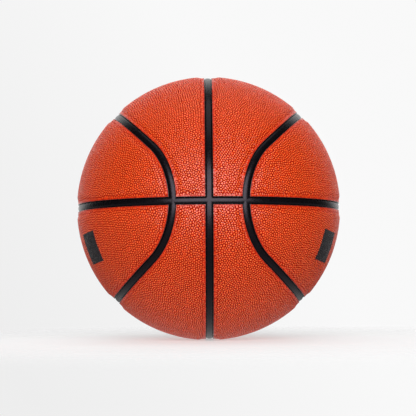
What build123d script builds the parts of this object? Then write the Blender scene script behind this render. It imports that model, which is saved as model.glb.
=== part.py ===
from build123d import *
import os
from math import asin, cos, radians, sin, sqrt

# A basketball: an air bladder with a valve, wound with yarn, in a rubber carcass whose raised ribs
# fill the seams between eight cushioned cover panels. All lengths are in millimetres.
# The origin is the ball's centre, +Z is up and -Y is the front, where two seams cross.

# Overall size, over the crowns of the panels
ball_diameter = 242.0

# Layers of the wall, from the outside in
cover_thickness = 1.1
cushion_thickness = 1.1
carcass_thickness = 0.9
winding_thickness = 0.5
bladder_thickness = 0.8
cement_film = 0.05

# Ribs in the seams, whose flat tops lie below the crowns
rib_width = 6.2
rib_depth = 1.4
rib_flank_width = 0.8
rib_gap = 0.1

# Edges of the panels beside the ribs
edge_depth = 1.15
border_width = 3.0
border_rise = 0.2
shoulder_width = 4.2

# Seam layout, in degrees: the lean of a loop's long sides from upright,
# and the size of its round ends as seen from the ball's centre
loop_tilt = 45.0
loop_end_angle = 30.0

# Valve
neck_diameter = 12.0
neck_length = 10.0
flange_diameter = 28.0
flange_thickness = 1.0
tip_diameter = 7.0
tip_recess = 0.3
tip_gap = 0.1
plug_diameter = 5.0
bulb_diameter = 8.0
bulb_length = 5.0
dish_diameter = 4.0
dish_depth = 0.8
needle_bore_diameter = 2.06
needle_bore_length = 9.0

# How far a cut runs past what it cuts, and a slanted cut past its own ends
overrun = 1.0
slant_overrun_share = 0.25

# Radii of the layers
ball_radius = ball_diameter / 2
cover_inside = ball_radius - cover_thickness
cushion_outside = cover_inside - cement_film
cushion_inside = cushion_outside - cushion_thickness
carcass_outside = cushion_inside - cement_film
carcass_inside = carcass_outside - carcass_thickness
winding_outside = carcass_inside - cement_film
winding_inside = winding_outside - winding_thickness
bladder_outside = winding_inside - cement_film
bladder_inside = bladder_outside - bladder_thickness
rib_top = ball_radius - rib_depth

# Distances from the middle of a seam, along the ball's surface
rib_edge = rib_width / 2
panel_edge = rib_edge + rib_gap
border_end = panel_edge + border_width
crown_start = border_end + shoulder_width

# Seams round the upper right quarter: the level one, the upright one and the loop.
# The loop's long side meets its round ends at the front joint and the back joint.
tilt = radians(loop_tilt)
end_angle = radians(loop_end_angle)
end_reach = asin(sin(end_angle) / cos(tilt))
nose = end_reach - end_angle
side_pole = Vector(cos(tilt), 0, -sin(tilt))
side_middle = Vector(sin(tilt), 0, cos(tilt))
front_pole = Vector(sin(end_reach), -cos(end_reach), 0)
front_middle = Vector(sin(nose), -cos(nose), 0)
back_pole = Vector(sin(end_reach), cos(end_reach), 0)
front_joint = Plane((0, 0, 0), x_dir=side_pole, z_dir=side_pole.cross(front_pole))
back_joint = Plane((0, 0, 0), x_dir=side_pole, z_dir=back_pole.cross(side_pole))
level_plane = Plane((0, 0, 0), x_dir=(0, 0, 1), z_dir=(0, -1, 0))
upright_plane = Plane((0, 0, 0), x_dir=(1, 0, 0), z_dir=(0, 1, 0))


# Sections across a seam

def on_section(offset, radius):
    """A point of a seam's section, by its distance from the seam's middle and from the ball's centre."""
    return radius * sin(offset / ball_radius), radius * cos(offset / ball_radius)


def cover_section(plane):
    """What a seam takes from the cover: the channel, and the air over the border and shoulder beside it."""
    low = cushion_inside - overrun
    high = ball_radius + overrun
    foot = Vector(on_section(panel_edge, low))
    rim = Vector(on_section(panel_edge, ball_radius - edge_depth))
    border = Vector(on_section(border_end, ball_radius - edge_depth + border_rise))
    crown = Vector(on_section(crown_start, ball_radius))
    with BuildSketch(plane) as section:
        with BuildLine():
            Polyline((0, foot.Y), foot, rim, border)
            hollow = TangentArc(border, (border + crown) / 2, tangent=border - rim)
            swell = TangentArc(hollow @ 1, crown, tangent=hollow % 1)
            clear = crown + (swell % 1) * overrun
            Polyline(crown, clear, (clear.X, high), (0, high))
            mirror(about=Plane.YZ)
        make_face()
    return section.sketch


def slanted_section(plane, foot, foot_radius, top, top_radius):
    """What a seam takes from a layer whose edge slants from foot to top. The slant runs on past both."""
    run = (top - foot) * slant_overrun_share
    rise = (top_radius - foot_radius) * slant_overrun_share
    low = foot_radius - 2 * overrun
    high = top_radius + 2 * overrun
    with BuildSketch(plane) as section:
        with BuildLine():
            Polyline(
                on_section(0, low),
                on_section(foot - run, low),
                on_section(foot - run, foot_radius - rise),
                on_section(top + run, top_radius + rise),
                on_section(top + run, high),
                on_section(0, high),
            )
            mirror(about=Plane.YZ)
        make_face()
    return section.sketch


def cushion_section(plane):
    """What a seam takes from the cushions, which taper out under the shoulders of the panels."""
    return slanted_section(plane, border_end, cushion_inside, crown_start, cushion_outside)


def hollow_section(plane):
    """What a seam leaves out of the hollows under the panels, which are a film larger than the cushions."""
    foot = border_end - cement_film
    top = crown_start - cement_film
    return slanted_section(plane, foot, cushion_inside, top, cushion_outside)


def rib_section(plane):
    """A rib with slanted flanks, which stays when the beds of the panels are cut into the carcass."""
    return slanted_section(plane, rib_edge, carcass_outside, rib_edge - rib_flank_width, rib_top)


# Tiles, cut in a front, a middle and a back sector, one to each arc of the loop, and joined again

def seam_layer(inside, outside, section, pole, middle):
    """A round layer with a seam cut all round it. The seam turns about pole, and middle is on it."""
    with BuildPart() as layer:
        with BuildSketch():
            with BuildLine():
                ThreePointArc((0, -outside), (-outside, 0), (0, outside))
                Line((0, outside), (0, inside))
                ThreePointArc((0, inside), (-inside, 0), (0, -inside))
                Line((0, -inside), (0, -outside))
            make_face()
            add(section(Plane.XY.rotated((0, 0, pole.get_angle(middle)))), mode=Mode.SUBTRACT)
        revolve(axis=Axis.Y)
    towards = middle - pole * pole.dot(middle)
    return layer.part.moved(Plane((0, 0, 0), x_dir=towards, z_dir=towards.cross(pole)).location)


def sector_tiles(layer, joints, section):
    """What the level and upright seams leave of a sector of a layer: its centre piece and its side piece."""
    with BuildPart() as sector:
        add(layer)
        split(bisect_by=Plane.YZ)
        split(bisect_by=Plane.XY)
        for joint, kept in joints:
            split(bisect_by=joint, keep=kept)
        revolve(section(level_plane), axis=Axis.Z, mode=Mode.SUBTRACT)
        revolve(section(upright_plane), axis=Axis.X, mode=Mode.SUBTRACT)
    return sector.solids().sort_by(Axis.X)


def quarter_tiles(inside, outside, section):
    """What the seams leave of a layer in the upper right quarter: the centre tile and the side tile."""
    front = seam_layer(inside, outside, section, front_pole, front_middle)
    middle = seam_layer(inside, outside, section, side_pole, side_middle)
    ends = sector_tiles(front, [(front_joint, Keep.TOP)], section)
    middles = sector_tiles(middle, [(front_joint, Keep.BOTTOM), (back_joint, Keep.BOTTOM)], section)
    tiles = {}
    for row, end, between in zip(("centre", "side"), ends, middles):
        with BuildPart() as tile:
            add(between)
            add(end)
            add(end.mirror(Plane.XZ))
        tiles[row] = tile.solid()
    return tiles


def in_quarter(tile, height, hand):
    """An upper right tile, mirrored into another quarter of the ball."""
    if hand == "left":
        tile = tile.mirror(Plane.YZ)
    if height == "lower":
        tile = tile.mirror(Plane.XY)
    return tile


cover_tiles = quarter_tiles(cushion_inside, ball_radius, cover_section)
hollow_tiles = quarter_tiles(cushion_inside - overrun, cover_inside, hollow_section)
cushion_tiles = quarter_tiles(cushion_inside, cushion_outside, cushion_section)
bed_tiles = quarter_tiles(carcass_outside, rib_top + overrun, rib_section)
quarters = [(height, hand) for height in ("upper", "lower") for hand in ("left", "right")]

# The valve points straight out of one centre panel, midway between the upright seam and the loop
valve_angle = radians(loop_tilt / 2)
valve_axis = Axis((0, 0, 0), (sin(valve_angle), 0, cos(valve_angle)))
valve_plane = Plane((0, 0, 0), x_dir=(0, 1, 0), z_dir=valve_axis.direction)
valve_section = Plane((0, 0, 0), x_dir=(0, 1, 0), z_dir=Vector(0, 1, 0).cross(valve_axis.direction))
valve_place = ("centre", "upper", "right")
neck_radius = neck_diameter / 2
flange_radius = flange_diameter / 2
tip_radius = tip_diameter / 2
plug_radius = plug_diameter / 2
bulb_radius = bulb_diameter / 2
dish_radius = dish_diameter / 2
needle_radius = needle_bore_diameter / 2
neck_hole_radius = neck_radius + cement_film
neck_foot = bladder_inside - neck_length
tip_face = ball_radius - tip_recess


def on_sphere(radius, reach):
    """A point of the valve's section on a sphere of that radius, by its distance from the valve's axis."""
    return reach, sqrt(radius**2 - reach**2)


def shell_section(inside, outside):
    """Half of a round shell, with the hole that the valve's neck goes through."""
    with BuildSketch(valve_section) as section:
        with BuildLine():
            Line(on_sphere(inside, neck_hole_radius), on_sphere(outside, neck_hole_radius))
            ThreePointArc(on_sphere(outside, neck_hole_radius), (outside, 0), (0, -outside))
            Line((0, -outside), (0, -inside))
            ThreePointArc((0, -inside), (inside, 0), on_sphere(inside, neck_hole_radius))
        make_face()
    return section.sketch


os.makedirs("parts", exist_ok=True)

# Bladder
with BuildPart() as bladder:
    revolve(shell_section(bladder_inside, bladder_outside), axis=valve_axis)
bladder.part.label = "bladder"
export_step(bladder.part, "parts/bladder.step")

# Winding of yarn
with BuildPart() as winding:
    revolve(shell_section(winding_inside, winding_outside), axis=valve_axis)
winding.part.label = "winding"
export_step(winding.part, "parts/winding.step")

# Carcass, with a bed sunk for each panel and the ribs left standing between the beds
with BuildPart() as carcass:
    revolve(shell_section(carcass_inside, rib_top), axis=valve_axis)
    for height, hand in quarters:
        for tile in bed_tiles.values():
            add(in_quarter(tile, height, hand), mode=Mode.SUBTRACT)
carcass.part.label = "carcass"
export_step(carcass.part, "parts/carcass.step")

# Cushions, and the panels that wrap over them
for height, hand in quarters:
    for row in ("centre", "side"):
        has_valve = (row, height, hand) == valve_place
        with BuildPart() as cushion:
            add(in_quarter(cushion_tiles[row], height, hand))
            if has_valve:
                with BuildSketch(valve_plane):
                    Circle(neck_hole_radius)
                extrude(amount=ball_radius, mode=Mode.SUBTRACT)
        cushion.part.label = f"{row}_cushion_{height}_{hand}"
        export_step(cushion.part, f"parts/{cushion.part.label}.step")

        with BuildPart() as panel:
            add(in_quarter(cover_tiles[row], height, hand))
            add(in_quarter(hollow_tiles[row], height, hand), mode=Mode.SUBTRACT)
            if has_valve:
                with BuildSketch(valve_plane):
                    Circle(tip_radius + tip_gap)
                extrude(amount=ball_radius + overrun, mode=Mode.SUBTRACT)
        panel.part.label = f"{row}_panel_{height}_{hand}"
        export_step(panel.part, f"parts/{panel.part.label}.step")

# Valve seat: a neck with a flange under the bladder's skin, and a tip that fills the hole in the panel
flange_top = bladder_inside - cement_film
flange_foot = flange_top - flange_thickness
flange_middle = (neck_radius + flange_radius) / 2
neck_head = on_sphere(cover_inside - cement_film, neck_radius)
with BuildPart() as valve_seat:
    with BuildSketch(valve_section):
        with BuildLine():
            Polyline(
                (bulb_radius, neck_foot),
                (neck_radius, neck_foot),
                on_sphere(flange_foot, neck_radius),
            )
            ThreePointArc(
                on_sphere(flange_foot, neck_radius),
                on_sphere(flange_foot, flange_middle),
                on_sphere(flange_foot, flange_radius),
            )
            Line(on_sphere(flange_foot, flange_radius), on_sphere(flange_top, flange_radius))
            ThreePointArc(
                on_sphere(flange_top, flange_radius),
                on_sphere(flange_top, flange_middle),
                on_sphere(flange_top, neck_radius),
            )
            Polyline(
                on_sphere(flange_top, neck_radius),
                neck_head,
                (tip_radius, neck_head[1]),
                (tip_radius, tip_face),
                (plug_radius, tip_face),
                (plug_radius, neck_foot + bulb_length),
                (bulb_radius, neck_foot + bulb_length),
                (bulb_radius, neck_foot),
            )
        make_face()
    revolve(axis=valve_axis)
valve_seat.part.label = "valve_seat"
export_step(valve_seat.part, "parts/valve_seat.step")

# Valve plug: a bulb that locks it in the seat, and a dished head with the blind bore for a needle
stem_radius = plug_radius - cement_film
bulb_head = neck_foot + bulb_length - cement_film
bore_mouth = tip_face - dish_depth
with BuildPart() as valve_plug:
    with BuildSketch(valve_section):
        with BuildLine():
            Polyline(
                (0, neck_foot),
                (bulb_radius - cement_film, neck_foot),
                (bulb_radius - cement_film, bulb_head),
                (stem_radius, bulb_head),
                (stem_radius, tip_face),
                (dish_radius, tip_face),
                (needle_radius, bore_mouth),
                (needle_radius, bore_mouth - needle_bore_length),
                (0, bore_mouth - needle_bore_length),
                (0, neck_foot),
            )
        make_face()
    revolve(axis=valve_axis)
valve_plug.part.label = "valve_plug"
export_step(valve_plug.part, "parts/valve_plug.step")
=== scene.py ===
import math

import bpy
import numpy as np
from mathutils import Matrix, Vector
from mathutils.geometry import delaunay_2d_cdt


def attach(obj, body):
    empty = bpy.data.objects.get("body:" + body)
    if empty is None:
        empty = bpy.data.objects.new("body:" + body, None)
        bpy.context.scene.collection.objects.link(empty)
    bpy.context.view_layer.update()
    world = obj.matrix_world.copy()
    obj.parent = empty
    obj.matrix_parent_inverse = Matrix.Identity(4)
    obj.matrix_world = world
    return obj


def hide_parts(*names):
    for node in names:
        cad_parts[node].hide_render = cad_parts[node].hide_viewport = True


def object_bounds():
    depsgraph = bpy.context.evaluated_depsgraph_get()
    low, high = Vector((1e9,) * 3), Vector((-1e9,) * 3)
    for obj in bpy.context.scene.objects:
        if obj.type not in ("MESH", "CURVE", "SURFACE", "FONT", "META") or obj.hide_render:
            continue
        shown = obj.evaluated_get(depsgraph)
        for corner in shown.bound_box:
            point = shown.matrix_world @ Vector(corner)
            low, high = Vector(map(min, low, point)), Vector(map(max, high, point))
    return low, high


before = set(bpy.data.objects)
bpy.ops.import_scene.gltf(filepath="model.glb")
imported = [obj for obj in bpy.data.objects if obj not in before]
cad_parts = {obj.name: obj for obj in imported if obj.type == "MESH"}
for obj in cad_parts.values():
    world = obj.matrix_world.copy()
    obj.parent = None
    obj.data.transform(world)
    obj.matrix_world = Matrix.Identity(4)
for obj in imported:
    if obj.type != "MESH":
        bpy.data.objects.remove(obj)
cad_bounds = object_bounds()

# Radii of the ball's layers. Lengths of its skin are in millimetres, as in the CAD, until a mesh is made.
MM = 0.001
R = 121.0
COVER, CUSHION, CARCASS, FILM = 1.1, 1.1, 0.9, 0.05
PANEL_UNDER = R - COVER
CUSHION_TOP = PANEL_UNDER - FILM
FOOT = CUSHION_TOP - CUSHION
BED = FOOT - FILM
INSIDE = BED - CARCASS
RIB_TOP = R - 1.4
BORDER_LOW = FOOT + COVER
BORDER_RISE = 0.2

# Insets are distances from the middle of the nearest seam.
RIB_EDGE = 3.1
PANEL_EDGE = 3.2
FIELD_EDGE = 3.85
BORDER_END = 6.2
SHOULDER_END = 10.4
CORNER_ROUND = 5.0

# The valve's axis leads through the middle of the upper right centre panel. Its holes are radii about it.
LEAN = math.radians(22.5)
VALVE = np.array((math.sin(LEAN), 0.0, math.cos(LEAN)))
PANEL_HOLE = 3.6
HOLE_RIM = PANEL_HOLE + 1.3
NECK_HOLE = 6.25

# Sections as (inset, radius): a rib from its middle to the bed, a panel's wall and rim, and its underside.
# The section of the hole in a panel has distances from the valve's axis in place of insets.
RIB_SECTION = [(0.0, RIB_TOP), (0.6, RIB_TOP - 0.02), (1.2, RIB_TOP - 0.08), (1.7, RIB_TOP - 0.17),
               (2.1, RIB_TOP - 0.29), (2.45, RIB_TOP - 0.5), (RIB_EDGE, BED)]
RIB_CROWN = 0.2
RIM_SECTION = [(PANEL_EDGE, FOOT), (PANEL_EDGE, BORDER_LOW - 0.15), (PANEL_EDGE + 0.07, BORDER_LOW - 0.05),
               (PANEL_EDGE + 0.28, BORDER_LOW + 0.01), (PANEL_EDGE + 0.4, BORDER_LOW + 0.02)]
WALL_RINGS, PAINTED_RINGS = 3, 4
UNDER_SECTION = [(BORDER_END - FILM, FOOT), (SHOULDER_END - FILM, PANEL_UNDER)]
HOLE_SECTION = [(PANEL_HOLE, PANEL_UNDER), (PANEL_HOLE, R - 0.35), (PANEL_HOLE + 0.25, R - 0.12),
                (HOLE_RIM, R - 0.1)]

# How fine the meshes are: the pitch of the pebbles and of plain sheets, steps along the seams and round the
# valve, and the grid on which the doubled points of the carcass meet.
PITCH = 2.1
SHEET_PITCH = 7.0
STEP = 1.15
VALVE_STEPS = 28
WELD = 0.01

# The pebbles. Depths lie below the crown. Gaps and the jitter are shares of the pitch, and a slope's place
# is a share of the way from the top to a corner of the cell. Some valleys are filled, so that neighbours run
# together. Pebbles carry painted shade up to one inset from the seams, and it fades out over the width after
# it.
VALLEY_DEPTH, EDGE_DEPTH, FILLED_DEPTH, SLOPE_DEPTH = 0.42, 0.38, 0.12, 0.08
SINK, EDGE_CUT = 0.05, 0.3
SLOPE_SHARE, FILLED_SHARE = 0.57, 0.28
JITTER_SHARE, GAP_SHARE, LEAST_GAP_SHARE = 0.20, 0.42, 0.3
HEXAGON_SHARE = 0.866
EVEN_ROUNDS, EVEN_SHARE = 4, 0.7
SHADED_INSET, SHADED_WIDTH = 4.2, 4.5

# The rise that the materials read at a point: 0 in a valley and 1 on top of a pebble or a rib.
EDGE_RISE, FILLED_RISE, SLOPE_RISE = 0.02, 0.74, 0.85
RIM_RISE, HOLE_RISE, HIDDEN_RISE = 0.84, 0.85, 0.3

# The seams: a level and an upright great circle, and on each side a loop of long arcs and round ends. SIDE,
# FRONT and BACK are the axes of the upper right long arc and its two round ends, END is the angle between a
# round end and its axis, and the arcs meet at JOINTS.
X, Y, Z = np.eye(3)
ROOT_HALF = math.sqrt(0.5)
SIDE = np.array((ROOT_HALF, 0.0, -ROOT_HALF))
FRONT = np.array((ROOT_HALF, -ROOT_HALF, 0.0))
BACK = np.array((ROOT_HALF, ROOT_HALF, 0.0))
END = math.radians(30.0)
JOINTS = [np.array((1.0, y, 1.0)) / math.sqrt(6.0) for y in (-2.0, 2.0)]
MIDDLE = {"centre": VALVE, "side": np.array((math.cos(LEAN), 0.0, math.sin(LEAN)))}


def unit(v):
    """v, or each row of v, at length 1."""
    return v / np.linalg.norm(v, axis=-1, keepdims=True)


def smooth(t):
    """A smooth step from 0 to 1 while t goes from 0 to 1."""
    t = np.clip(t, 0.0, 1.0)
    return t * t * (3.0 - 2.0 * t)


def soft_min(a, b, k):
    """The lesser of a and b, rounded off where they differ by less than k."""
    h = np.clip(0.5 + 0.5 * (b - a) / k, 0.0, 1.0)
    return b + (a - b) * h - k * h * (1.0 - h)


def seam_distances(p):
    """How far unit vectors p lie from the level seam, the upright seam and the loop (positive inside it)."""
    x, y, z = np.abs(p).T
    level = R * np.arcsin(np.clip(z, -1, 1))
    upright = R * np.arcsin(np.clip(x, -1, 1))
    round_end = R * (END - np.arccos(np.clip((x + y) * ROOT_HALF, -1, 1)))
    long_arc = R * np.arcsin(np.clip((x - z) * ROOT_HALF, -1, 1))
    return level, upright, np.where(y > x + z, round_end, long_arc)


def inset(kind, p, k=0.0):
    """How far unit vectors p lie inside a panel's seams; k rounds the corners of lines of equal distance."""
    level, upright, loop = seam_distances(p)

    def join(a, b):
        return soft_min(a, b, k) if k else np.minimum(a, b)

    return join(level, loop) if kind == "side" else join(join(level, upright), -loop)


def crown(s):
    """Radius of a panel's outside at inset s: low border, rounded shoulder, crown."""
    border = BORDER_LOW + BORDER_RISE * np.clip((s - PANEL_EDGE) / (BORDER_END - PANEL_EDGE), 0.0, 1.0)
    swell = R - BORDER_LOW - BORDER_RISE
    return border + swell * smooth((s - BORDER_END) / (SHOULDER_END - BORDER_END))


def surface(kind, p):
    """Radius of a panel's outside along unit vectors p."""
    return crown(inset(kind, p, CORNER_ROUND))


def swing(axis, start, end):
    """The circle about axis through start: two square radii, the first to start, and the angle on to end."""
    u = start - axis * (start @ axis)
    v = np.cross(axis, u)
    w = end - axis * (end @ axis)
    return u, v, math.atan2(w @ v, w @ u)


def arc(axis, start, end, count):
    """count points from start on the circle about axis that leads to end, which isn't among them."""
    u, v, angle = swing(axis, start, end)
    t = np.linspace(0.0, angle, count, endpoint=False)[:, None]
    return axis * (start @ axis) + u * np.cos(t) + v * np.sin(t)


def arc_steps(axis, start, end):
    """How many steps such an arc takes."""
    u, _, angle = swing(axis, start, end)
    return max(4, round(R * math.hypot(*u) * abs(angle) / STEP))


def corner(a, b, alpha, beta, towards):
    """The unit vector with parts alpha and beta along the square axes a and b, on the side of towards."""
    c = np.cross(a, b)
    c = c if c @ towards > 0 else -c
    return alpha * a + beta * b + math.sqrt(1.0 - alpha * alpha - beta * beta) * c


def sides(kind, s):
    """The arcs round an upper right panel at inset s, each as its axis, start and end."""
    a = s / R
    inwards = 1.0 if kind == "side" else -1.0
    noses = [corner(axis, Z, math.cos(END - inwards * a), math.sin(a), np.array((0.1, y, 0.0)))
             for axis, y in ((FRONT, -1.0), (BACK, 1.0))]
    joints = [math.cos(a) * joint + inwards * math.sin(a) * SIDE for joint in JOINTS]
    loop = [(FRONT, noses[0], joints[0]), (SIDE, joints[0], joints[1]), (BACK, joints[1], noses[1])]
    if kind == "side":
        return [*loop, (Z, noses[1], noses[0])]
    tips = [corner(Z, X, math.sin(a), math.sin(a), way * Y) for way in (-1, 1)]
    return [(Z, tips[0], noses[0]), *loop, (Z, noses[1], tips[1]), (X, tips[1], tips[0])]


def outline(kind, s):
    """The line at inset s of an upper right panel, as unit vectors, as many of them at every inset."""
    steps = [arc_steps(*side) for side in sides(kind, 0.0)]
    points = np.vstack([arc(*side, count) for side, count in zip(sides(kind, s), steps)])
    return points[::-1] if kind == "side" else points


def valve_ring(radius):
    """A ring of points at that distance from the valve's axis, clockwise from outside, as unit vectors."""
    t = np.linspace(0.0, -2.0 * math.pi, VALVE_STEPS, endpoint=False)[:, None]
    a = math.asin(radius / R)
    return VALVE * math.cos(a) + math.sin(a) * (np.cross(Y, VALVE) * np.cos(t) + Y * np.sin(t))


class Skin:
    """Gathers the points and triangles of one piece, and what its material reads at each point.

    rise goes from 0 in a valley to 1 on a top, the second value darkens the colour with random tone and with
    painted shade by the seams and the rim, and paint is 1 on the rim.
    """

    def __init__(self):
        self.points, self.faces, self.count = [], [], 0
        self.looks = {"rise": [], "tone_and_shade": [], "paint": []}

    def add(self, directions, radii, rise=0.75, tone_and_shade=0.5, paint=0.0):
        """Adds a point along each direction and returns the points' numbers."""
        n = len(directions)
        self.points.append(unit(directions) * np.broadcast_to(radii, (n,))[:, None])
        for key, value in (("rise", rise), ("tone_and_shade", tone_and_shade), ("paint", paint)):
            self.looks[key].append(np.broadcast_to(value, (n,)))
        self.count += n
        return np.arange(self.count - n, self.count)

    def tri(self, faces):
        self.faces.append(np.asarray(faces).reshape(-1, 3))

    def strip(self, outer, inner):
        """Joins two rings of equal count; outer lies to the right of the rings' way round."""
        a, b, c, d = outer, np.roll(outer, -1), np.roll(inner, -1), inner
        self.tri(np.stack([a, b, c], 1))
        self.tri(np.stack([a, c, d], 1))

    def strips(self, rings):
        """Joins each ring to the next."""
        for outer, inner in zip(rings, rings[1:]):
            self.strip(outer, inner)

    def arrays(self):
        looks = {key: np.concatenate(values) for key, values in self.looks.items()}
        return np.vstack(self.points), np.vstack(self.faces), looks


def flat_map(p, kind):
    """Stereographic places of unit vectors p about a panel's middle, in millimetres."""
    w = MIDDLE[kind]
    return np.stack([p @ np.cross(Y, w), p @ Y], 1) * (2.0 * R / (1.0 + p @ w))[:, None]


def triangles(kind, rings, seeds, s):
    """Delaunay triangles over the points (unit vectors) of the rings and the seeds.

    Those nearer to a seam than inset s, or inside the second ring, which goes round the valve, are left out.
    """
    p = np.vstack([*rings, seeds])
    xy = flat_map(p, kind)
    edges, start = [], 0
    for ring in rings:
        n = len(ring)
        edges += [(start + i, start + (i + 1) % n) for i in range(n)]
        start += n
    _, _, cells, sources, _, _ = delaunay_2d_cdt([Vector(place) for place in xy], edges, [], 0, 1e-7)
    source = np.array([numbers[0] for numbers in sources])
    t = source[np.array([cell for cell in cells if len(cell) == 3])]
    a, b, c = xy[t[:, 0]], xy[t[:, 1]], xy[t[:, 2]]
    area = (b[:, 0] - a[:, 0]) * (c[:, 1] - a[:, 1]) - (b[:, 1] - a[:, 1]) * (c[:, 0] - a[:, 0])
    t[area < 0] = t[area < 0][:, ::-1]
    middle = unit(p[t].sum(1))
    keep = (inset(kind, middle) > s) & (np.abs(area) > 1e-9)
    if len(rings) > 1:
        keep &= middle @ VALVE < rings[1][0] @ VALVE
    return t[keep]


def scatter(kind, pitch, margin, rng, jitter, hole=0.0):
    """Even but unruly unit vectors over an upper right panel, margin inside its seams and off the hole."""
    n = int(4 * math.pi * R * R / (HEXAGON_SHARE * pitch * pitch))
    i = np.arange(n) + 0.5
    z = 1.0 - 2.0 * i / n
    turn = i * math.pi * (3.0 - math.sqrt(5.0))
    ring = np.sqrt(1.0 - z * z)
    p = np.stack([ring * np.cos(turn), ring * np.sin(turn), z], 1)
    basis, _ = np.linalg.qr(rng.normal(size=(3, 3)))
    p = unit(p @ basis.T + rng.normal(size=p.shape) * jitter * pitch / R)
    p = p[(p[:, 0] > 0) & (p[:, 2] > 0)]
    _, _, loop = seam_distances(p)
    inside = loop > 0 if kind == "side" else loop < 0
    p = p[inside & (inset(kind, p) > margin)]
    return p[p @ VALVE < math.cos(hole / R)] if hole else p


def evened(kind, rings, seeds):
    """The seeds, each moved most of the way to the middle of its neighbours."""
    tri = triangles(kind, rings, seeds, FIELD_EDGE)
    p = np.vstack([*rings, seeds])
    total, number = np.zeros_like(p), np.zeros(len(p))
    for a, b in ((0, 1), (1, 2), (2, 0)):
        np.add.at(total, tri[:, a], p[tri[:, b]])
        np.add.at(number, tri[:, a], 1.0)
    first = len(p) - len(seeds)
    moved = unit(seeds + EVEN_SHARE * (total[first:] / number[first:, None] - seeds))
    return moved[inset(kind, moved) > FIELD_EDGE + LEAST_GAP_SHARE * PITCH]


def valleys(skin, kind, p, ids, tri, first):
    """The middle of each triangle: a valley point of its own, or the first ring point that it touches."""
    on_ring = tri < first
    own = ~on_ring.any(1)
    ring_point = tri[np.arange(len(tri)), np.argmax(on_ring, axis=1)]
    middles = p[ring_point]
    middles[own] = unit(p[tri[own]].sum(1))
    numbers = ids[ring_point]
    numbers[own] = skin.add(middles[own], surface(kind, middles[own]) - VALLEY_DEPTH, rise=0.0)
    return middles, numbers


def saddles(skin, kind, p, ids, start, end, first, rng):
    """The middle of each edge: a valley point, at times a filled one, or the ring point at one end."""
    pairs, where = np.unique(np.minimum(start, end) * len(p) + np.maximum(start, end), return_inverse=True)
    low, high = pairs // len(p), pairs % len(p)
    own = low >= first
    middles = unit(p[low[own]] + p[high[own]])
    filled = rng.random(len(middles)) < FILLED_SHARE
    depth = np.where(filled, FILLED_DEPTH, EDGE_DEPTH)
    rise = np.where(filled, FILLED_RISE, EDGE_RISE)
    numbers = ids[low]
    numbers[own] = skin.add(middles, surface(kind, middles) - depth, rise)
    return numbers[where.ravel()]


def pebbles(skin, kind, rings, ring_ids, seeds, rng):
    """Raises one rounded pebble over each seed, with a valley along every cell's edge, up to the rings."""
    p = np.vstack([*rings, seeds])
    first = len(p) - len(seeds)
    # Near the seams the pebbles get painted shade: a darker tone and a slightly lower rise. The rest of the
    # tone varies at random.
    border = 1.0 - smooth((inset(kind, seeds) - SHADED_INSET) / SHADED_WIDTH)
    tone_and_shade = 0.45 * rng.random(len(seeds)) + 0.6 * border
    rise = 1.0 - 0.05 * border
    lift = rng.uniform(-SINK, 0.0, len(seeds))
    ids = np.concatenate([*ring_ids, skin.add(seeds, surface(kind, seeds) + lift, rise, tone_and_shade)])
    # Triangles between ring points alone stay flat.
    tri = triangles(kind, rings, seeds, FIELD_EDGE)
    flat = (tri < first).all(1)
    skin.tri(ids[tri[flat]])
    tri = tri[~flat]
    middles, valley_ids = valleys(skin, kind, p, ids, tri, first)
    # Each triangle has three half-edges. Those that leave a seed are spokes, each with one that runs back.
    start, end = tri.ravel(), np.roll(tri, -1, axis=1).ravel()
    cell = np.repeat(np.arange(len(tri)), 3)
    after = np.roll(np.arange(len(start)).reshape(-1, 3), -1, axis=1).ravel()
    saddle_ids = saddles(skin, kind, p, ids, start, end, first, rng)
    spokes = np.flatnonzero(start >= first)
    keys = start * len(p) + end
    order = np.argsort(keys)
    back = order[np.searchsorted(keys[order], end[spokes] * len(p) + start[spokes])]
    # A slope point of each pebble, towards the middle of each triangle round it.
    seed = start[spokes] - first
    towards = unit(seeds[seed] + SLOPE_SHARE * (middles[cell[spokes]] - seeds[seed]))
    radii = surface(kind, towards) - SLOPE_DEPTH + lift[seed]
    slope_ids = np.full(len(start), -1)
    slope_ids[spokes] = skin.add(towards, radii, SLOPE_RISE * rise[seed], tone_and_shade[seed])
    top, saddle = ids[start[spokes]], saddle_ids[spokes]
    near_slope, far_slope = slope_ids[spokes], slope_ids[after[back]]
    near_valley, far_valley = valley_ids[cell[spokes]], valley_ids[cell[back]]
    # By the rings some corners coincide, and those triangles fall away.
    for corners in ((top, far_slope, near_slope), (far_slope, far_valley, saddle),
                    (far_slope, saddle, near_slope), (near_slope, saddle, near_valley)):
        a, b, c = corners
        skin.tri(np.stack(corners, 1)[(a != b) & (b != c) & (a != c)])


def sheet(skin, kind, rings, ring_ids, s, radius, way, rng):
    """A plain sheet at one radius between the rings, the first at inset s, facing out (way 1) or in (-1)."""
    hole = math.acos(rings[1][0] @ VALVE) * R + SHEET_PITCH / 2 if len(rings) > 1 else 0.0
    seeds = scatter(kind, SHEET_PITCH, s + SHEET_PITCH / 2, rng, 0.0, hole)
    tri = triangles(kind, rings, seeds, s)
    ids = np.concatenate([*ring_ids, skin.add(seeds, radius, HIDDEN_RISE)])
    skin.tri(ids[tri][:, ::way])


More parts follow.
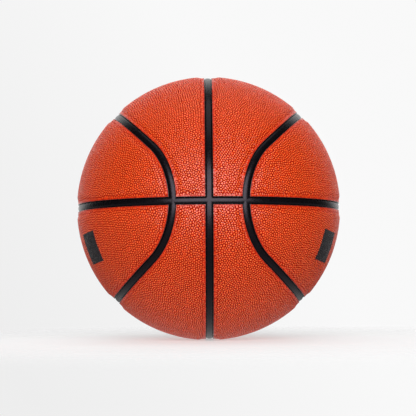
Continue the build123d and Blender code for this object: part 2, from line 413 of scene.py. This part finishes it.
def panel(kind, rng, hole):
    """A closed cover panel: pebbled crown, rim, wall and underside, and the valve's hole in one panel.

    With it come the numbers at which the points of its wall and of its outside end.
    """
    skin = Skin()
    # The rim and the edge ring of the pebbles below take the darkest tone: painted shade along the seams.
    ids = [skin.add(outline(kind, s), radius, RIM_RISE, tone_and_shade=1.0, paint=float(ring < PAINTED_RINGS))
           for ring, (s, radius) in enumerate(RIM_SECTION)]
    wall_end = ids[WALL_RINGS - 1][-1] + 1
    edge = outline(kind, FIELD_EDGE)
    cut = rng.random(len(edge))
    ids.append(skin.add(edge, crown(FIELD_EDGE) - EDGE_CUT * (1.0 - cut), rise=0.1 + 0.9 * cut, tone_and_shade=1.0))
    skin.strips(ids)
    rings, ring_ids = [edge], [ids[-1]]
    if hole:
        hole_ids = [skin.add(valve_ring(distance), radius, HOLE_RISE) for distance, radius in HOLE_SECTION]
        skin.strips(hole_ids)
        rings.append(valve_ring(HOLE_RIM))
        ring_ids.append(hole_ids[-1])
    gap = GAP_SHARE * PITCH
    seeds = scatter(kind, PITCH, FIELD_EDGE + gap, rng, JITTER_SHARE, HOLE_RIM + gap if hole else 0.0)
    for _ in range(EVEN_ROUNDS):
        seeds = evened(kind, rings, seeds)
    pebbles(skin, kind, rings, ring_ids, seeds, rng)
    outside_end = skin.count
    under_ids = [skin.add(outline(kind, s), radius, HIDDEN_RISE) for s, radius in UNDER_SECTION]
    skin.strips([*under_ids[::-1], ids[0]])
    under_edge, _ = UNDER_SECTION[-1]
    rings, ring_ids = [outline(kind, under_edge)], [under_ids[-1]]
    if hole:
        rings.append(valve_ring(PANEL_HOLE))
        ring_ids.append(hole_ids[0])
    sheet(skin, kind, rings, ring_ids, under_edge, PANEL_UNDER, -1, rng)
    return skin, wall_end, outside_end


def cushion(kind, rng, hole):
    """A foam pad, closed: flat below, tapered to nothing at its edge under the panel's border."""
    skin = Skin()
    foot, top = [outline(kind, BORDER_END)], [outline(kind, SHOULDER_END)]
    if hole:
        foot.append(valve_ring(NECK_HOLE))
        top.append(valve_ring(NECK_HOLE))
    foot_ids = [skin.add(ring, FOOT) for ring in foot]
    top_ids = [skin.add(ring, CUSHION_TOP) for ring in top]
    for low, high in zip(foot_ids, top_ids):
        skin.strip(low, high)
    sheet(skin, kind, top, top_ids, SHOULDER_END, CUSHION_TOP, 1, rng)
    sheet(skin, kind, foot, foot_ids, BORDER_END, FOOT, -1, rng)
    return skin


def rib_net(kind, rng, hole):
    """The carcass under one panel: half of each rib, the bed and the inside, with the valve's hole."""
    skin = Skin()
    ids = [skin.add(outline(kind, s), radius, rise=float(radius > RIB_TOP - RIB_CROWN))
           for s, radius in RIB_SECTION]
    inner_ids = [skin.add(outline(kind, s), INSIDE, HIDDEN_RISE) for s in (0.0, RIB_EDGE)]
    skin.strips(ids)
    skin.strips(inner_ids[::-1])
    rings, bed_ids, inside_ids = [outline(kind, RIB_EDGE)], [ids[-1]], [inner_ids[-1]]
    if hole:
        rings.append(valve_ring(NECK_HOLE))
        inside_ids.append(skin.add(rings[-1], INSIDE, HIDDEN_RISE))
        bed_ids.append(skin.add(rings[-1], BED, HIDDEN_RISE))
        skin.strip(inside_ids[-1], bed_ids[-1])
    # The inside has its points right below those of the bed.
    state = rng.bit_generator.state
    sheet(skin, kind, rings, bed_ids, RIB_EDGE, BED, 1, rng)
    rng.bit_generator.state = state
    sheet(skin, kind, rings, inside_ids, RIB_EDGE, INSIDE, -1, rng)
    return skin


# Places on a panel's bake, as boxes (left, right, foot, head). The wall is spread out round the outside.
OUTSIDE_BOX = (0.004, 0.996, 0.004, 0.74)
UNDERSIDE_BOX = (0.004, 0.6, 0.76, 0.996)
WALL_SPREAD = 0.006


def equal_area(p, w, v):
    """Lambert's azimuthal places of unit vectors p about w, with v across."""
    u = np.cross(v, w)
    return np.stack([p @ v, p @ u], 1) * np.sqrt(2.0 / np.clip(1.0 + p @ w, 1e-6, None))[:, None]


def fit(uv, box):
    """uv moved and stretched to fill a box."""
    left, right, foot, head = box
    flat = uv.reshape(-1, 2)
    low, high = flat.min(0), flat.max(0)
    return np.array((left, foot)) + (uv - low) / (high - low) * np.array((right - left, head - foot))


def panel_uv(kind, points, faces, wall_end, outside_end):
    """Where the corners of a panel's triangles lie on its bake."""
    uv = equal_area(unit(points), MIDDLE[kind], Y)[faces]
    under = (faces >= outside_end).any(1)
    wall = (faces < wall_end) & ~under[:, None]
    depth = PANEL_UNDER - np.linalg.norm(points[faces[wall]], axis=1)
    uv[wall] *= (1.0 + WALL_SPREAD * depth)[:, None]
    uv[~under] = fit(uv[~under], OUTSIDE_BOX)
    uv[under] = fit(uv[under], UNDERSIDE_BOX)
    return uv


def piece(name, points, faces, material, nodes, attributes=None, uv=None, sharp=70.0):
    """A smooth mesh that stands for CAD nodes, with its edges past sharp degrees kept hard."""
    mesh = bpy.data.meshes.new(name)
    mesh.vertices.add(len(points))
    mesh.vertices.foreach_set("co", (points * MM).astype(np.float32).ravel())
    mesh.loops.add(3 * len(faces))
    mesh.loops.foreach_set("vertex_index", faces.astype(np.int32).ravel())
    mesh.polygons.add(len(faces))
    mesh.polygons.foreach_set("loop_start", np.arange(0, 3 * len(faces), 3, dtype=np.int32))
    mesh.polygons.foreach_set("use_smooth", np.ones(len(faces), bool))
    mesh.update(calc_edges=True)
    for key, values in (attributes or {}).items():
        mesh.attributes.new(key, "FLOAT", "POINT").data.foreach_set("value", np.asarray(values, np.float32))
    if uv is not None:
        mesh.uv_layers.new(name="OFBake").data.foreach_set("uv", uv.astype(np.float32).ravel())
    mesh.validate()
    mesh.set_sharp_from_angle(angle=math.radians(sharp))
    mesh.materials.append(material)
    obj = bpy.data.objects.new(name, mesh)
    bpy.context.scene.collection.objects.link(obj)
    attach(obj, "root")
    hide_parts(*nodes)
    return obj


# The materials. Their lengths are in metres.


class Nodes:
    """A short hand for the node tree of a material or the world."""

    def __init__(self, owner):
        self.material = owner
        owner.use_nodes = True
        self.tree = owner.node_tree
        self.shader = self.tree.nodes.get("Principled BSDF")
        self.coordinates = self.new("ShaderNodeTexCoord").outputs
        self.place = self.coordinates["Object"]

    def fill(self, socket, value):
        """Links a node's output to a socket, or sets a plain value there."""
        if isinstance(value, bpy.types.NodeSocket):
            self.tree.links.new(value, socket)
        else:
            socket.default_value = value

    def new(self, kind, inputs=(), **settings):
        node = self.tree.nodes.new(kind)
        for key, value in settings.items():
            setattr(node, key, value)
        for key, value in dict(inputs).items():
            self.fill(node.inputs[key], value)
        return node

    def set(self, **inputs):
        for key, value in inputs.items():
            self.fill(self.shader.inputs[key.replace("_", " ")], value)

    def noise(self, scale, detail=3.0, rough=0.5):
        inputs = {"Vector": self.place, "Scale": scale, "Detail": detail, "Roughness": rough}
        return self.new("ShaderNodeTexNoise", inputs).outputs["Fac"]

    def math(self, operation, a, b=0.0):
        return self.new("ShaderNodeMath", {0: a, 1: b}, operation=operation).outputs[0]

    def dot(self, a, b):
        return self.new("ShaderNodeVectorMath", {0: a, 1: b}, operation="DOT_PRODUCT").outputs["Value"]

    def spread(self, value, low, high, to_low=0.0, to_high=1.0, curve="LINEAR"):
        """value moved from the range low to high to another range, and held at its ends."""
        inputs = {"Value": value, "From Min": low, "From Max": high, "To Min": to_low, "To Max": to_high}
        return self.new("ShaderNodeMapRange", inputs, interpolation_type=curve).outputs["Result"]

    def mix(self, factor, a, b):
        """The colour a, or b as far as factor says."""
        node = self.new("ShaderNodeMix", data_type="RGBA", blend_type="MIX")
        for number, value in ((0, factor), (6, a), (7, b)):
            self.fill(node.inputs[number], (*value, 1.0) if isinstance(value, tuple) else value)
        return node.outputs[2]

    def ramp(self, value, *stops):
        node = self.new("ShaderNodeValToRGB", {"Fac": value})
        while len(node.color_ramp.elements) < len(stops):
            node.color_ramp.elements.new(0.5)
        for element, (at, colour) in zip(node.color_ramp.elements, stops):
            element.position, element.color = at, (*colour, 1.0)
        return node.outputs["Color"]

    def attribute(self, name):
        return self.new("ShaderNodeAttribute", attribute_name=name).outputs["Fac"]

    def bump(self, height, strength, distance):
        inputs = {"Height": height, "Strength": strength, "Distance": distance}
        self.set(Normal=self.new("ShaderNodeBump", inputs).outputs["Normal"])


# Two plain black prints on the lower side panels: how far round from the front and below the level seam they
# are, how far they lean from upright, half their side, half the width of their soft edge, and their depth.
PRINT_ROUND, PRINT_BELOW, PRINT_LEAN = math.radians(64.93), math.radians(17.95), math.radians(6.81)
PRINT_HALF, PRINT_SOFT, PRINT_DEPTH = 0.0142, 0.0002, 0.05


def printed(n, hand):
    """1 inside the print on the right (hand 1) or left (-1), and 0 elsewhere."""
    sideways, forwards = math.sin(PRINT_ROUND), math.cos(PRINT_ROUND)
    drop, level_share = math.sin(PRINT_BELOW), math.cos(PRINT_BELOW)
    out = Vector((hand * level_share * sideways, -level_share * forwards, -drop))
    down = Vector((-hand * drop * sideways, drop * forwards, -level_share))
    level = Vector((hand * forwards, sideways, 0.0))
    long_way = down * math.cos(PRINT_LEAN) - level * math.sin(PRINT_LEAN)
    ends = {0: n.place, 1: out * R * MM}
    shifted = n.new("ShaderNodeVectorMath", ends, operation="SUBTRACT").outputs[0]
    mask = n.math("GREATER_THAN", n.dot(shifted, out), -PRINT_DEPTH)
    for way in (long_way, out.cross(long_way)):
        off = n.math("ABSOLUTE", n.dot(shifted, way))
        inside = n.spread(off, PRINT_HALF - PRINT_SOFT, PRINT_HALF + PRINT_SOFT, 1.0, 0.0)
        mask = n.math("MULTIPLY", mask, inside)
    return mask


def leather():
    """Pebbled orange leather with painted shade in the valleys and by the seams, tops paler in part as a
    painted highlight, polished tops, mottling, scuffs, prints and a black rim.
    """
    n = Nodes(bpy.data.materials.new("cover_leather"))
    valley, flank, slope, top = (0.07, 0.0, 0.0), (0.22, 0.0, 0.0), (0.75, 0.014, 0.0), (0.85, 0.25, 0.052)
    mottled, toned_and_shaded, scuffed = (0.52, 0.034, 0.003), (0.36, 0.027, 0.004), (0.76, 0.26, 0.14)
    black = (0.012, 0.011, 0.013)
    rise, tone_and_shade = n.attribute("rise"), n.attribute("tone_and_shade")
    # Painted shade: the colour darkens down into the valleys by the rise, and the paler tops are partly a
    # painted highlight.
    colour = n.ramp(rise, (0.0, valley), (0.48, flank), (0.80, slope), (1.0, top))
    colour = n.mix(n.spread(n.noise(28.0, 4.0, 0.6), 0.3, 0.7, 0.0, 0.12), colour, mottled)
    # Painted shade by the seams and random tone darken the colour.
    colour = n.mix(n.spread(tone_and_shade, 0.0, 1.0, 0.0, 0.5), colour, toned_and_shaded)
    colour = n.mix(n.spread(n.noise(75.0, 6.0, 0.7), 0.60, 0.74, 0.0, 0.08), colour, scuffed)
    marks = n.math("MAXIMUM", printed(n, -1), printed(n, 1))
    ink = n.math("MULTIPLY", marks, n.spread(n.noise(700.0, 2.0), 0.2, 0.45, 0.95, 1.0))
    n.set(Base_Color=n.mix(n.math("MAXIMUM", ink, n.attribute("paint")), colour, black))
    grain = n.spread(n.noise(420.0, 3.0), 0.3, 0.7, -0.05, 0.08)
    n.set(Roughness=n.math("ADD", n.spread(rise, 0.3, 0.9, 0.70, 0.36), grain), Diffuse_Roughness=0.55)
    n.set(IOR=1.5, Specular_IOR_Level=0.05, Coat_Weight=n.spread(rise, 0.55, 1.0), Coat_Roughness=0.14)
    n.bump(n.noise(2600.0, 3.0, 0.6), 0.12, 0.0004)
    return n.material


def seam_rubber():
    """Black satin rubber with a trace of dust on the ribs' tops."""
    n = Nodes(bpy.data.materials.new("seam_rubber"))
    dark, paler, dusty = (0.0016, 0.0014, 0.0019), (0.0026, 0.0023, 0.0030), (0.006, 0.0055, 0.0065)
    dust = n.spread(n.noise(160.0, 5.0, 0.65), 0.5, 0.75, 0.0, 0.25)
    colour = n.mix(n.spread(n.noise(40.0, 3.0), 0.35, 0.65), dark, paler)
    colour = n.mix(n.math("MULTIPLY", dust, n.attribute("rise")), colour, dusty)
    n.set(Base_Color=colour, IOR=1.5, Specular_IOR_Level=0.24, Specular_Tint=(0.97, 0.84, 1.0, 1.0))
    n.set(Roughness=n.spread(n.noise(300.0, 4.0, 0.6), 0.3, 0.7, 0.22, 0.31))
    n.bump(n.noise(1500.0, 3.0, 0.6), 0.10, 0.0004)
    return n.material


def foam():
    """Pale matt foam with fine cells."""
    n = Nodes(bpy.data.materials.new("cushion_foam"))
    cells = n.new("ShaderNodeTexVoronoi", {"Vector": n.place, "Scale": 900.0}).outputs["Distance"]
    n.set(Base_Color=n.mix(n.spread(n.noise(30.0, 4.0), 0.3, 0.7), (0.50, 0.47, 0.42), (0.60, 0.58, 0.53)))
    n.set(Roughness=n.spread(cells, 0.0, 0.8, 0.95, 0.8))
    n.bump(cells, 0.5, 0.0005)
    return n.material


def yarn():
    """Pale yarn, wound three ways."""
    n = Nodes(bpy.data.materials.new("winding_yarn"))
    wound = []
    for turned in ((0.3, 0.2, 0.1), (1.2, 0.5, 0.9), (0.4, 1.4, 2.1)):
        place = n.new("ShaderNodeMapping", {"Vector": n.place, "Rotation": turned}).outputs[0]
        wave = n.new("ShaderNodeTexWave", {"Vector": place, "Scale": 240.0, "Distortion": 1.5})
        wound.append(wave.outputs["Fac"])
    first, second, third = wound
    waves = n.math("MAXIMUM", n.math("MAXIMUM", first, second), third)
    n.set(Base_Color=n.mix(waves, (0.42, 0.40, 0.35), (0.71, 0.69, 0.63)))
    n.set(Roughness=n.spread(waves, 0.0, 1.0, 0.9, 0.75))
    n.bump(waves, 0.6, 0.0006)
    return n.material


def rubber(name, dark, pale, rough):
    """Dark moulded rubber with patches of talc."""
    n = Nodes(bpy.data.materials.new(name))
    talc = n.spread(n.noise(55.0, 6.0, 0.7), 0.45, 0.8, 0.0, 0.6)
    n.set(Base_Color=n.mix(talc, dark, pale))
    n.set(Roughness=n.spread(n.noise(350.0, 4.0), 0.3, 0.7, rough, rough + 0.18))
    n.bump(n.noise(1800.0, 3.0), 0.15, 0.0004)
    return n.material


# The pieces. Each quarter of the ball mirrors the upper right one, with its own random draws.
QUARTERS = [("upper_right", 1, 1), ("upper_left", -1, 1), ("lower_left", -1, -1), ("lower_right", 1, -1)]
COVER_LEATHER, SEAM_RUBBER, CUSHION_FOAM = leather(), seam_rubber(), foam()


def dress(row, quarter, flip, rng, hole):
    """Makes the skin and the pad of one panel, and returns its part of the carcass."""
    way = int(flip.prod())
    skin, wall_end, outside_end = panel(row, rng, hole)
    points, faces, looks = skin.arrays()
    uv = panel_uv(row, points, faces, wall_end, outside_end)
    node = f"{row}_panel_{quarter}"
    piece(f"{node}_skin", points * flip, faces[:, ::way], COVER_LEATHER, [node], looks,
          uv[:, ::way])
    points, faces, _ = cushion(row, rng, hole).arrays()
    node = f"{row}_cushion_{quarter}"
    pad = piece(f"{node}_pad", points * flip, faces[:, ::way], CUSHION_FOAM, [node])
    points, faces, looks = rib_net(row, rng, hole).arrays()
    return points * flip, faces[:, ::way], looks["rise"]


def carcass(nets):
    """Welds the nets into one carcass along the ribs' middles."""
    points, faces, rises = zip(*nets)
    starts = np.cumsum([0] + [len(part) for part in points])
    faces = np.vstack([part + start for part, start in zip(faces, starts)])
    points, rise = np.vstack(points), np.concatenate(rises)
    places = np.round(points / WELD).astype(np.int64)
    _, first, welded = np.unique(places, axis=0, return_index=True, return_inverse=True)
    piece("carcass_ribs", points[first], welded.ravel()[faces], SEAM_RUBBER, ["carcass"],
          {"rise": rise[first]}, sharp=80.0)


nets = []
for number, (quarter, x_way, z_way) in enumerate(QUARTERS):
    for row in ("centre", "side"):
        rng = np.random.default_rng(100 + 10 * number + (row == "side"))
        hole = row == "centre" and quarter == "upper_right"
        nets.append(dress(row, quarter, np.array((x_way, 1, z_way)), rng, hole))
carcass(nets)

# The hidden layers and the valve are the CAD's own meshes with better materials.
CAD_MATERIALS = {
    "bladder": rubber("bladder_rubber", (0.012, 0.012, 0.012), (0.10, 0.10, 0.095), 0.55),
    "winding": yarn(),
    "valve_seat": rubber("valve_rubber", (0.010, 0.010, 0.011), (0.035, 0.034, 0.034), 0.5),
    "valve_plug": rubber("valve_core", (0.014, 0.013, 0.013), (0.045, 0.043, 0.042), 0.55),
}
for node, material in CAD_MATERIALS.items():
    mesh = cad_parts[node].data
    mesh.materials.clear()
    mesh.materials.append(material)

# The stage, in metres: a pale floor, soft lights, the backdrop and the camera.
FLOOR = cad_bounds[0][2]
FLOOR_RINGS, FLOOR_STEPS = (0.02, 0.05, 0.1, 0.2, 0.4, 0.6, 0.9), 96
WHITE = (1.0, 1.0, 1.0, 1.0)


def floor_mesh():
    """A round floor: a face in the middle, and rings about it."""
    turns = np.linspace(0.0, 2.0 * math.pi, FLOOR_STEPS, endpoint=False)
    verts = [(r * math.cos(a), r * math.sin(a), FLOOR) for r in FLOOR_RINGS for a in turns]
    faces = [tuple(range(FLOOR_STEPS))]
    for start in range(0, len(verts) - FLOOR_STEPS, FLOOR_STEPS):
        for k in range(FLOOR_STEPS):
            here, beside = start + k, start + (k + 1) % FLOOR_STEPS
            faces.append((here, here + FLOOR_STEPS, beside + FLOOR_STEPS, beside))
    mesh = bpy.data.meshes.new("floor")
    mesh.from_pydata(verts, [], faces)
    return mesh


def floor():
    """A pale floor that keeps the shadow near the ball and fades into the backdrop further off."""
    mesh = floor_mesh()
    obj = bpy.data.objects.new("floor", mesh)
    bpy.context.scene.collection.objects.link(obj)
    n = Nodes(bpy.data.materials.new("floor_paper"))
    seen = n.new("ShaderNodeLightPath").outputs["Is Camera Ray"]
    reach = n.new("ShaderNodeVectorMath", {0: n.place}, operation="LENGTH").outputs["Value"]
    paper = n.mix(n.spread(n.noise(9.0, 2.0), 0.3, 0.7), (0.69, 0.69, 0.694), (0.71, 0.71, 0.71))
    n.set(Base_Color=n.mix(seen, (0.20, 0.20, 0.20), paper), Roughness=0.9, Specular_IOR_Level=0.1)
    # Painted light: to all rays but the camera's, the floor is dark grey and glows though it is no lamp,
    # most of all right below the ball. The camera sees pale paper and a plain glow.
    glow_on_ball, glow = n.spread(reach, 0.128, 0.22, 0.60, 0.15), 0.48
    n.set(Emission_Color=(0.9, 0.9, 0.9, 1.0), Emission_Strength=n.spread(seen, 0.0, 1.0, glow_on_ball, glow))
    far = n.math("MULTIPLY", seen, n.spread(reach, 0.1, 0.5, curve="SMOOTHERSTEP"))
    clear = n.new("ShaderNodeBsdfTransparent").outputs[0]
    faded = n.new("ShaderNodeMixShader", {0: far, 1: n.shader.outputs[0], 2: clear})
    n.fill(n.tree.nodes["Material Output"].inputs["Surface"], faded.outputs[0])
    mesh.materials.append(n.material)


def studio():
    """Dim round the front, white behind the ball, and a pale backdrop, a little darker low on the left."""
    world = bpy.data.worlds.new("studio")
    bpy.context.scene.world = world
    n = Nodes(world)
    x, y, z = n.new("ShaderNodeSeparateXYZ", {0: n.coordinates["Generated"]}).outputs
    back = n.math("ADD", y, n.math("MULTIPLY", n.math("MAXIMUM", z, 0.0), 0.2))
    light = n.spread(back, 0.55, 0.9, 0.05, 1.0, curve="SMOOTHSTEP")
    pale = n.spread(n.math("ADD", x, n.math("MULTIPLY", z, 0.6)), -0.17, 0.10, 0.85, 0.945)
    lit = n.tree.nodes["Background"]
    n.fill(lit.inputs["Color"], WHITE)
    n.fill(lit.inputs["Strength"], light)
    backdrop = n.new("ShaderNodeBackground", {"Color": WHITE, "Strength": pale})
    camera_ray = n.new("ShaderNodeLightPath").outputs["Is Camera Ray"]
    both = n.new("ShaderNodeMixShader", {0: camera_ray, 1: lit.outputs[0], 2: backdrop.outputs[0]})
    n.fill(n.tree.nodes["World Output"].inputs["Surface"], both.outputs[0])


def softbox(name, at, size, watts):
    """A rectangular light that faces the ball's middle."""
    data = bpy.data.lights.new(name, "AREA")
    data.shape, data.energy = "RECTANGLE", watts
    data.size, data.size_y = size
    obj = bpy.data.objects.new(name, data)
    bpy.context.scene.collection.objects.link(obj)
    obj.location = at
    obj.rotation_euler = (-Vector(at)).to_track_quat("-Z", "Y").to_euler()


# The camera, fitted to the photograph. Sensor and lens are in millimetres, and the shifts in pixels.
SENSOR, LENS, DISTANCE = 36.0, 116.8, 1.2463
ELEVATION, TURN, ROLL = math.radians(-3.31), math.radians(0.32), math.radians(0.41)
PICTURE_SIDE, SHIFT_RIGHT, SHIFT_UP = 416.0, -0.58, 0.52


def view():
    """A long lens in front of the ball, a little below its middle."""
    data = bpy.data.cameras.new("camera")
    data.sensor_width, data.lens = SENSOR, LENS
    data.shift_x, data.shift_y = SHIFT_RIGHT / PICTURE_SIDE, SHIFT_UP / PICTURE_SIDE
    data.clip_start, data.clip_end = 0.05, 50.0
    camera = bpy.data.objects.new("camera", data)
    bpy.context.scene.collection.objects.link(camera)
    level = math.cos(ELEVATION)
    away = Vector((-math.sin(TURN) * level, -math.cos(TURN) * level, math.sin(ELEVATION)))
    camera.location = away * DISTANCE
    look = (-away).to_track_quat("-Z", "Y").to_matrix() @ Matrix.Rotation(-ROLL, 3, "Z")
    camera.rotation_euler = look.to_euler()
    bpy.context.scene.camera = camera


floor()
softbox("front_light", at=(0.0, -2.65, 0.56), size=(3.4, 2.0), watts=121.0)
softbox("top_light", at=(0.0, -0.3, 2.2), size=(2.4, 1.8), watts=13.0)
studio()
view()
bpy.context.scene.view_settings.view_transform = "Standard"
